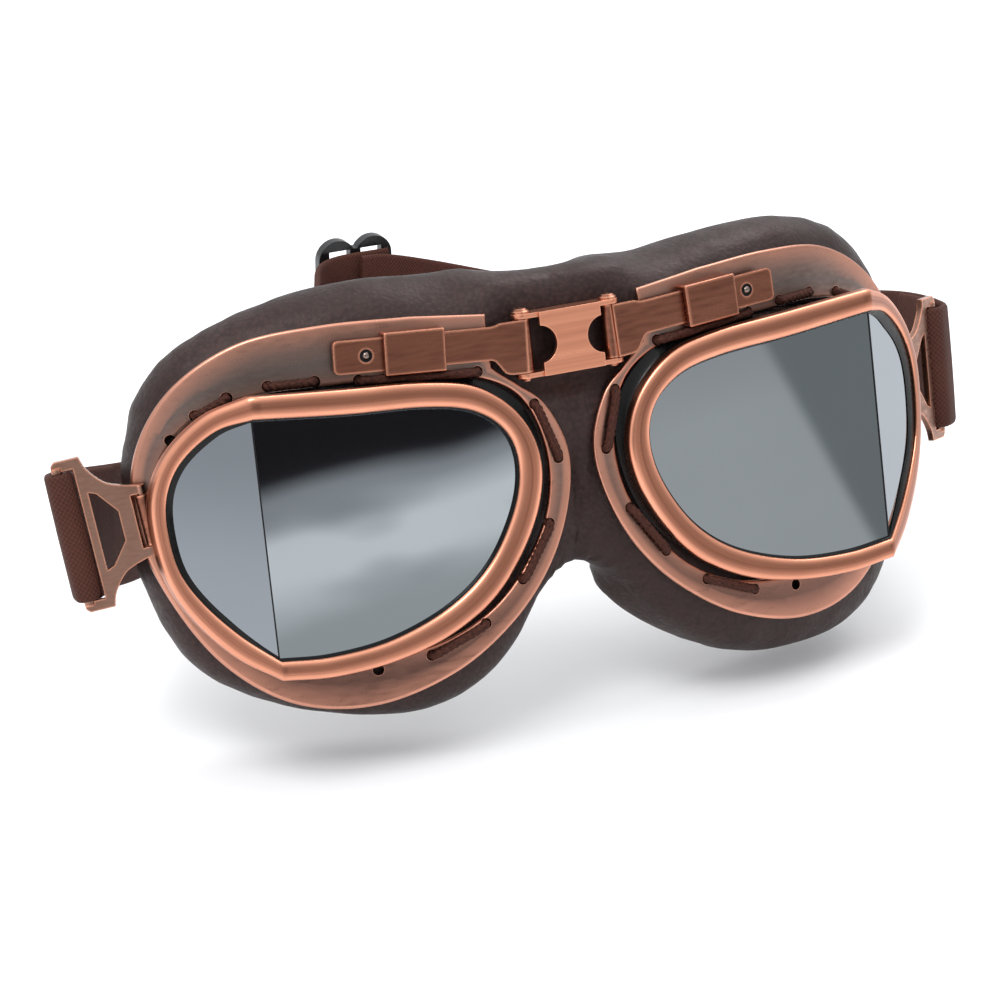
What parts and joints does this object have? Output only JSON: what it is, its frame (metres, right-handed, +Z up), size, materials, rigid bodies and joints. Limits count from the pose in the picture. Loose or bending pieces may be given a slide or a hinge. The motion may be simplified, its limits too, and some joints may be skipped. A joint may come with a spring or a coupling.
{
  "type": "motorcycle goggles",
  "caption": "Aviator-style goggles: split mirrored lenses in copper rims laced to leather face cushions, hinged bridge, and a webbing strap with adjuster on swinging buckles.",
  "frame": {"origin": "on the surface that the goggles stand on, under the middle of their bounding box", "axes": "+X across the goggles towards the wearer's left, +Y from the lenses back to the strap's adjuster, +Z up"},
  "size_m": [0.1974, 0.1987, 0.086],
  "materials": {
    "copper": "brushed copper-plated brass, bright rounded edges",
    "plate": "grey-brown plated sheet, fine brushed grain, worn coppery edges",
    "steel": "polished screw head",
    "lens": "smoke grey mirror-coated lens",
    "gasket": "satin black rubber",
    "leather": "dark brown pebble-grained leather with a soft sheen",
    "lining": "short-pile black face fleece",
    "webbing": "chestnut woven elastic webbing",
    "lace": "chestnut waxed cord",
    "slider": "black moulded nylon"
  },
  "bodies": {
    "bridge": {"bridge_link": "copper", "hinge_pins": "copper", "nose_pad": "leather"},
    "arm_left": {"bridge_arm_left": "copper", "width_stop_left": "steel"},
    "eyecup_left": {"frame_plate_left": "plate", "clamp_block_left": "copper", "lens_rim_left": "copper", "lens_gasket_left": "gasket", "lens_front_left": "lens", "lens_side_left": "lens", "lace_left": "lace", "buckle_lug_left": "copper", "cushion_left": "leather", "face_lining_left": "lining"},
    "buckle_left": {"strap_buckle_left": "copper"},
    "strap_left": {"strap_left": "webbing"},
    "arm_right": {"bridge_arm_right": "copper", "width_stop_right": "steel"},
    "eyecup_right": {"frame_plate_right": "plate", "clamp_block_right": "copper", "lens_rim_right": "copper", "lens_gasket_right": "gasket", "lens_front_right": "lens", "lens_side_right": "lens", "lace_right": "lace", "buckle_lug_right": "copper", "cushion_right": "leather", "face_lining_right": "lining"},
    "buckle_right": {"strap_buckle_right": "copper"},
    "strap_right": {"strap_right": "webbing"},
    "slider": {"strap_slider": "slider"}
  },
  "joints": [
    {"name": "left_fold", "type": "hinge", "parent": "bridge", "child": "arm_left", "pos_m": [-0.0107, -0.08441, 0.07444], "axis": [0, -0.2419, -0.9703], "range_deg": [-2.5, 4]},
    {"name": "left_width", "type": "slide", "parent": "arm_left", "child": "eyecup_left", "axis": [-0.9881, 0.1529, 0.0158], "range_m": [-0.0005, 0.0018]},
    {"name": "right_fold", "type": "hinge", "parent": "bridge", "child": "arm_right", "pos_m": [0.0073, -0.08441, 0.07444], "axis": [0, 0.2419, 0.9703], "range_deg": [-2.5, 4]},
    {"name": "right_width", "type": "slide", "parent": "arm_right", "child": "eyecup_right", "axis": [0.9881, 0.1529, 0.0158], "range_m": [-0.0005, 0.0018]},
    {"name": "left_buckle_swing", "type": "hinge", "parent": "eyecup_left", "child": "buckle_left", "pos_m": [-0.0816, -0.07367, 0.04888], "axis": [0.1145, -0.2806, -0.953], "range_deg": [-2.5, 2]},
    {"name": "left_strap_pivot", "type": "hinge", "parent": "buckle_left", "child": "strap_left", "pos_m": [-0.09466, -0.06947, 0.04607], "axis": [0.1145, -0.2806, -0.953], "range_deg": [-2.5, 2]},
    {"name": "right_buckle_swing", "type": "hinge", "parent": "eyecup_right", "child": "buckle_right", "pos_m": [0.0782, -0.07367, 0.04888], "axis": [0.0145, 0.2514, 0.9678], "range_deg": [-7, 4.5]},
    {"name": "right_strap_pivot", "type": "hinge", "parent": "buckle_right", "child": "strap_right", "pos_m": [0.0898, -0.06614, 0.04675], "axis": [0.0145, 0.2514, 0.9678], "range_deg": [-1.2, 1.8]},
    {"name": "slider_slide", "type": "slide", "parent": "strap_left", "child": "slider", "axis": [1, 0, 0], "range_m": [-0.0025, 0.0025]}
  ],
  "couplings": [
    {"joint": "left_buckle_swing", "follows": "left_fold", "ratio": -0.527},
    {"joint": "left_strap_pivot", "follows": "left_fold", "ratio": -0.498},
    {"joint": "right_buckle_swing", "follows": "left_fold", "ratio": -1.6},
    {"joint": "right_strap_pivot", "follows": "left_fold", "ratio": 0.376},
    {"joint": "right_fold", "follows": "left_fold", "ratio": 1}
  ]
}
